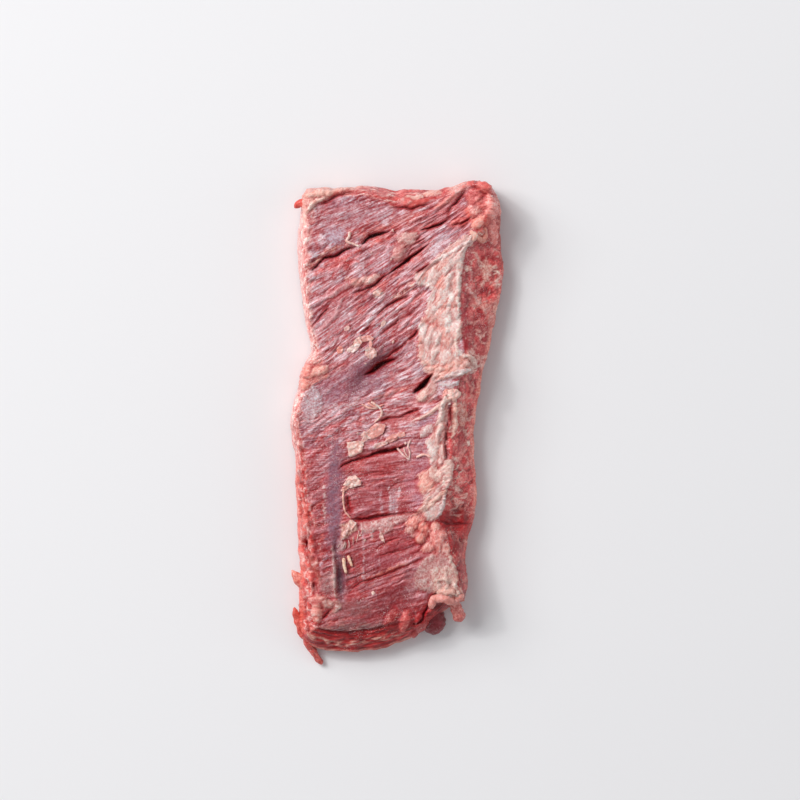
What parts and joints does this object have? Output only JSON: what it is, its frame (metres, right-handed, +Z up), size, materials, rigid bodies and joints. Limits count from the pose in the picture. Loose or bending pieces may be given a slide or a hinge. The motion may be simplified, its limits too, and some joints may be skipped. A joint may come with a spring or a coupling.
{
  "type": "thin-cut steak",
  "caption": "Long flat slab of raw coarse-grained beef with opened seams across the lean and a ragged fat seam along one side.",
  "frame": {"origin": "centre of the footprint's bounding box, at the level of the table the steak lies on", "axes": "+Y along the steak towards the wider end, +X across it towards the fat seam, +Z up through its thickness"},
  "size_m": [0.1064, 0.241, 0.0248],
  "materials": {
    "raw_meat": "moist raw beef with a soft sheen"
  },
  "bodies": {
    "root": {"steak": "raw_meat"}
  },
  "joints": []
}
